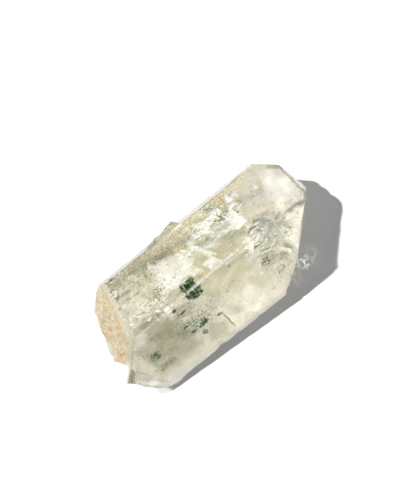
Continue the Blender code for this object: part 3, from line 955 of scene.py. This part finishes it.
# %% Healed cracks
VEILS = (
    # four corners as pixel and depth, bulge, tone, share, and for a cloudy one how soft it is
    (((176, 237, 3.0), (214, 256, 5.0), (247, 225, 5.0), (211, 205, 3.0)), 1.2, 0.75, 0.85),
    (((230, 207, 1.6), (248, 221, 1.6), (238, 232, 1.8), (218, 216, 1.8)), 0.5, 0.2, 0.9, 0.3),
    (((246, 221, 1.6), (252, 229, 2.4), (231, 248, 6.0), (224, 240, 5.0)), 0.3, 0.8, 0.8, 0.7),
    (((251, 219, 2.4), (273, 219, 2.0), (273, 241, 4.0), (251, 241, 5.0)), 0.8, 0.8, 0.9),
    (((243, 241, 6.4), (253, 240, 6.6), (254, 254, 3.0), (245, 255, 3.0)), 0.2, 0.1, 1.0, 0.45),
    (((246, 252, 7.0), (260, 251, 7.4), (263, 263, 3.4), (249, 266, 3.0)), 0.2, 0.1, 1.0, 0.45),
    (((200, 265, 1.6), (211, 255, 1.6), (223, 260, 1.8), (213, 272, 1.6)), 0.2, 0.2, 0.6, 0.5),
    # painted highlight: a soft white sheet under the face at the point, for the bright patch of light
    # in it
    (((262, 178, 5.6), (292, 172, 1.0), (311, 196, 1.0), (276, 212, 6.6)), 0.2, 0.0, 1.0, 0.85),
    (((254, 168, 1.4), (286, 162, 1.0), (298, 176, 1.0), (262, 186, 4.0)), 0.2, 0.15, 0.5, 1.0),
    (((270, 204, 11.0), (312, 196, 0.8), (306, 252, 0.8), (272, 250, 12.0)), 0.2, 0.1, 1.0, 1.0),
    (((248, 240, 11.0), (275, 222, 10.0), (296, 262, 2.0), (262, 278, 4.0)), 0.6, 0.9, 0.75, 0.1),
    (((252, 214, 7.0), (284, 206, 6.0), (296, 236, 2.0), (266, 246, 5.0)), 0.6, 0.7, 0.6, 0.15),
    (((218, 311, 0.8), (236, 329, 0.8), (238, 330, 2.2), (220, 311, 2.2)), 0.5, 1.0, 0.4, 0.8),
    (((150, 250, 0.5), (184, 221, 0.5), (185, 222, 1.0), (151, 251, 1.0)), 0.0, 0.0, 0.9, 1.0),
    (((196, 205, 0.5), (244, 163, 0.5), (245, 164, 1.0), (197, 206, 1.0)), 0.0, 1.0, 0.6, 1.0),
    (((224, 190, 3.0), (262, 164, 1.5), (280, 190, 3.0), (246, 218, 4.0)), 0.3, 0.2, 0.35, 1.0),
    (((110, 294, 3.0), (150, 260, 3.0), (170, 290, 3.0), (130, 326, 3.0)), 0.3, 0.9, 0.20, 1.0),
    (((247, 188, 1.2), (252, 184, 1.2), (258, 188, 1.6), (253, 191, 2.0)), 0.2, 0.0, 1.0),
    (((226, 197, 1.2), (232, 190, 1.0), (237, 193, 1.4), (231, 200, 2.0)), 0.2, 0.0, 1.0),
    (((247, 180, 1.0), (251, 177, 1.0), (256, 181, 1.2), (252, 183, 1.4)), 0.2, 0.0, 1.0),
    (((209, 237, 2.0), (222, 230, 2.0), (238, 228, 2.4), (224, 236, 3.0)), 0.2, 0.0, 0.9),
    (((176, 239, 2.0), (190, 238, 2.0), (204, 251, 4.0), (192, 252, 4.0)), 0.8, 0.8, 0.95),
    (((176, 240, 1.4), (183, 237, 1.4), (218, 254, 2.4), (208, 258, 2.4)), 0.9, 0.4, 0.55),
    (((202, 207, 1.6), (219, 203, 1.6), (229, 222, 3.0), (212, 226, 3.0)), 0.5, 0.9, 0.9),
    (((256, 217, 1.2), (264, 213, 1.2), (274, 217, 1.6), (266, 221, 2.4)), 0.3, 0.0, 0.9),
    (((220, 196, 1.4), (228, 193, 1.4), (237, 208, 2.4), (229, 211, 2.4)), 0.4, 0.1, 0.9),
    (((146, 262, 2.5), (190, 250, 2.5), (204, 272, 4.0), (158, 302, 4.0)), 0.8, 0.25, 0.72, 0.5),
    (((104, 296, 4.0), (140, 268, 3.0), (160, 300, 5.0), (128, 330, 5.0)), 1.2, 0.1, 0.40),
    (((209, 314, 11.0), (248, 280, 11.0), (276, 296, 2.5), (240, 342, 2.0)), 0.6, 0.0, 0.75, 0.6),
    (((106, 340, 4.0), (176, 302, 6.0), (214, 346, 4.0), (160, 390, 3.0)), 0.6, 1.0, 0.24, 1.0),
    (((140, 300, 3.0), (172, 290, 2.6), (176, 312, 5.0), (140, 334, 5.0)), 0.8, 0.2, 0.55),
    (((225, 252, 1.4), (229, 252, 1.4), (230, 268, 3.0), (226, 266, 3.0)), 0.0, 0.5, 0.9),
    (((173, 274, 12.0), (232, 225, 12.0), (262, 262, 5.9), (212, 308, 2.8)), 0.0, 0.6, 0.6, 1.0),
    (((131, 384, 3.0), (150, 385, 1.4), (160, 370, 3.0), (134, 352, 12.0)), 0.0, 0.35, 0.8, 1.0),
    # painted highlight: a soft white sheet that carries the point face's bright patch on past its edge
    (((258, 174, 1.5), (272, 166, 1.2), (290, 196, 1.8), (266, 208, 2.0)), 0.0, 0.05, 0.45, 1.0),
    (((168, 304, 2.0), (192, 298, 2.0), (196, 314, 3.0), (174, 322, 3.0)), 0.2, 1.0, 0.2, 1.0),
    (((206, 322, 2.0), (228, 318, 2.0), (234, 338, 2.0), (208, 346, 2.0)), 0.2, 1.0, 0.13, 1.0),
    (((138, 316, 2.0), (172, 310, 2.0), (178, 338, 4.0), (144, 346, 4.0)), 0.2, 1.0, 0.2, 1.0),
)
veil_mesh = bmesh.new()
for name in VEIL_MARKS:
    veil_mesh.verts.layers.float.new(name)
for corners, *look in VEILS:
    sheet(veil_mesh, [below(*corner) for corner in corners], *look)
print("large cracks", len(VEILS), "with", len(veil_mesh.faces), "faces")

# %% [markdown]
# Around the large cracks the quartz is full of small ones. They follow the directions in which the
# crystal grew, so each zone gets slivers of a few directions, and only their size and place change.

# %% Slivers
SLIVER_CELLS = 5
SLIVER_STRAY = 0.12  # how far a sliver turns away from its way
SLIVER_SKIN = 1.0  # millimetres of quartz over the middle of a sliver
SLIVER_BULGE = 0.1
SLIVER_SOFT = 0.5
SLIVER_WAYS = (
    # normal of the sliver, and the way that it is long
    (Vector((0.577, 0.127, 0.807)), Vector((0.80, -0.20, -0.54))),
    (Vector((-0.30, 0.35, 0.89)), Vector((0.70, -0.55, 0.45))),
    (Vector((-0.104, 0.173, 0.98)), Vector((1.0, 0.05, 0.10))),
)
SLIVER_ZONES = (
    # middle, spread, count, longest, share, darkest
    (below(214.0, 226.0, 2.6), (4.0, 4.5, 1.6), 46, 3.4, 0.9, 0.9),
    (below(258.0, 236.0, 2.6), (6.0, 4.0, 1.6), 44, 3.0, 0.85, 0.8),
    (below(196.0, 243.0, 3.0), (6.0, 2.6, 1.6), 22, 3.6, 0.7, 0.8),
    (below(150.0, 305.0, 2.2), (9.0, 4.5, 1.6), 110, 2.3, 0.85, 0.7),
    (below(250.0, 190.0, 2.0), (6.0, 3.0, 1.2), 10, 1.6, 0.9, 0.1),
    (below(278.0, 270.0, 2.4), (5.0, 3.5, 1.6), 26, 1.8, 0.8, 0.7),
    (below(270.0, 246.0, 2.6), (5.0, 5.0, 1.6), 110, 2.6, 0.9, 1.0),
    (below(285.0, 225.0, 2.4), (4.0, 5.0, 1.6), 40, 2.6, 0.8, 0.9),
    (below(230.0, 210.0, 2.0), (5.0, 3.0, 1.4), 40, 2.6, 0.9, 0.6),
    (below(176.0, 268.0, 2.4), (8.0, 3.0, 1.6), 18, 3.0, 0.8, 0.2),
    (below(205.0, 318.0, 3.0), (9.0, 4.0, 2.0), 24, 1.6, 0.55, 0.3),
)
random = np.random.default_rng(21)
for middle, spread, count, longest, share, darkest in SLIVER_ZONES:
    for _ in range(count):
        place = middle + Vector(random.normal(0.0, 0.5, 3) * np.array(spread) * MM)
        way = SLIVER_WAYS[random.choice(len(SLIVER_WAYS), p=(0.45, 0.35, 0.2))]
        normal, along = (ideal + Vector(random.normal(0.0, SLIVER_STRAY, 3)) for ideal in way)
        along = (along - normal * along.dot(normal) / normal.length_squared).normalized()
        across = normal.cross(along).normalized()
        length = longest * random.uniform(0.3, 1.0) * MM / 2
        width = length * random.uniform(0.12, 0.5)
        slant = along * length * random.uniform(-0.4, 0.4)
        shape = (-along * length, across * width + slant, along * length, -across * width - slant)
        tone = darkest * random.uniform(0.0, 1.0)
        if is_inside(place, skin=SLIVER_SKIN):
            corners = [place + corner for corner in shape]
            shown = share * random.uniform(0.4, 1.0)
            sheet(veil_mesh, corners, SLIVER_BULGE, tone, shown, SLIVER_SOFT, SLIVER_CELLS)
print("large cracks and slivers have", len(veil_mesh.faces), "faces")

# %% [markdown]
# Close to the point sit a few round flaws, each a dark hoop about a clear middle. A hoop is a thin
# closed ring, made here from two rounds of points.

# %% Hoops
HOOP_STEPS = 22
HOOP_SIDES = 5
HOOP_WAVE = 0.15  # how far a hoop leaves its plane, as a share of its radius
HOOP_UNEVEN = 0.35  # how much its radius and thickness vary
HOOPS = (
    # pixel and depth, radius and thickness in millimetres, share
    ((281.0, 267.5, 2.0), 0.85, 0.16, 0.75),
    ((288.5, 277.0, 1.6), 0.70, 0.14, 0.70),
    ((279.5, 282.0, 1.8), 0.50, 0.12, 0.60),
    ((265.5, 262.5, 2.0), 0.95, 0.20, 0.85),
    ((285.5, 259.0, 1.8), 0.55, 0.12, 0.60),
    ((274.0, 288.0, 1.6), 0.45, 0.12, 0.50),
)


def hoop(mesh, middle, radius, thickness, share):
    """Adds a closed ring that lies level about a middle."""
    layers = [mesh.verts.layers.float[name] for name in VEIL_MARKS]
    rounds = []
    for i in range(HOOP_STEPS):
        turn = math.tau * i / HOOP_STEPS
        out = Vector((math.cos(turn), math.sin(turn), HOOP_WAVE * math.sin(turn * 2)))
        uneven = 1 + HOOP_UNEVEN * noise.noise(out * 1.4 + middle / MM)
        rounds.append([])
        for j in range(HOOP_SIDES):
            side = math.tau * j / HOOP_SIDES
            lift = Vector((0.0, 0.0, math.sin(side))) + out * math.cos(side)
            place = middle + (out * radius * uneven + lift * thickness * uneven**2 / 2) * MM
            vert = mesh.verts.new(place)
            for layer, value in zip(layers, (1.0, 1.0, share, 1.0)):
                vert[layer] = value
            rounds[-1].append(vert)
    for i in range(HOOP_STEPS):
        here, there = rounds[i], rounds[(i + 1) % HOOP_STEPS]
        for j in range(HOOP_SIDES):
            k = (j + 1) % HOOP_SIDES
            mesh.faces.new([here[j], there[j], there[k], here[k]])


for spot, radius, thickness, share in HOOPS:
    hoop(veil_mesh, below(*spot), radius, thickness, share)
print("healed cracks have", len(veil_mesh.faces), "faces")

# %% [markdown]
# A healed crack shows as silvery patches with ragged rims, and nothing in between. A noise tears it,
# and the rim mark makes it fade before the sheet ends. Inside the patches it is broken into small
# flat facets, some white and some dark, with thin bright lines between them.

# %% Facets of a crack
veil = Finish("healed crack")
FACET_SIZE = 1.1  # millimetres
FACET_BEND = 0.0008  # metres by which a noise bends the facets' borders at most
ragged = veil.noise(2.2, detail=6.0, rough=0.55) + veil.mark("rim") * 0.35
bent_place = veil.node(
    "ShaderNodeMix",
    {"data_type": "VECTOR"},
    {0: FACET_BEND, 4: veil.place, 5: veil.noise(1.4, detail=3.0)},
    out=1,
)
facet_place = veil.node(
    "ShaderNodeMapping",
    None,
    {
        "Vector": bent_place,
        "Rotation": (0.3, 0.5, -0.5),
        "Scale": tuple(s / (FACET_SIZE * MM) for s in (0.35, 1.0, 1.0)),
    },
)
facet_values = {"Vector": facet_place, "Scale": 1.0}
facet_look = veil.node("ShaderNodeTexVoronoi", None, facet_values, out="Color")
facet_white = veil.node("ShaderNodeSeparateColor", None, {0: facet_look}, out=0)
facet_dark = veil.node("ShaderNodeSeparateColor", None, {0: facet_look}, out=1)
to_rim = veil.node("ShaderNodeTexVoronoi", {"feature": "DISTANCE_TO_EDGE"}, facet_values)
glints = veil.step(to_rim, 0.08, 0.01) * 0.6
flat_parts = veil.step(facet_white, 0.20, 0.65) * 0.8 + glints

# %% What shows of a crack, and its colour
torn = veil.step(ragged, 0.47, 0.68) * flat_parts
faded = veil.step(veil.mark("rim") + (veil.noise(2.6, detail=4.0) - 0.5) * 0.9, 0.05, 0.8)
soft_here = veil.mark("soft")
shown = (torn * (1.0 - soft_here) + faded * soft_here) * veil.mark("share")
mottle = veil.step(veil.noise(0.55, detail=3.0), 0.42, 0.60) * 0.7 + veil.step(facet_dark, 0.45, 0.75)
mottle = mottle.sum("MINIMUM", mottle, 1.0)
mottle = (mottle * (1.0 - soft_here) + soft_here) * veil.mark("tone")
dark_part = veil.blend(soft_here, (0.36, 0.41, 0.28, 1.0), (0.26, 0.24, 0.05, 1.0))
veil_colour = veil.blend(mottle, (0.96, 0.95, 0.92, 1.0), dark_part)
silver = veil.principled({"Base Color": veil_colour, "Roughness": 0.35, "IOR": 1.3})
shown = shown * (1.0 - veil.lamp() * LAMPS_PAST)

# %% Make the healed cracks an object
veils = as_object("healed_cracks", veil_mesh, veil.done(veil.mix(shown, veil.unseen(), silver)))
veils.data.shade_smooth()
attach(veils, "root")
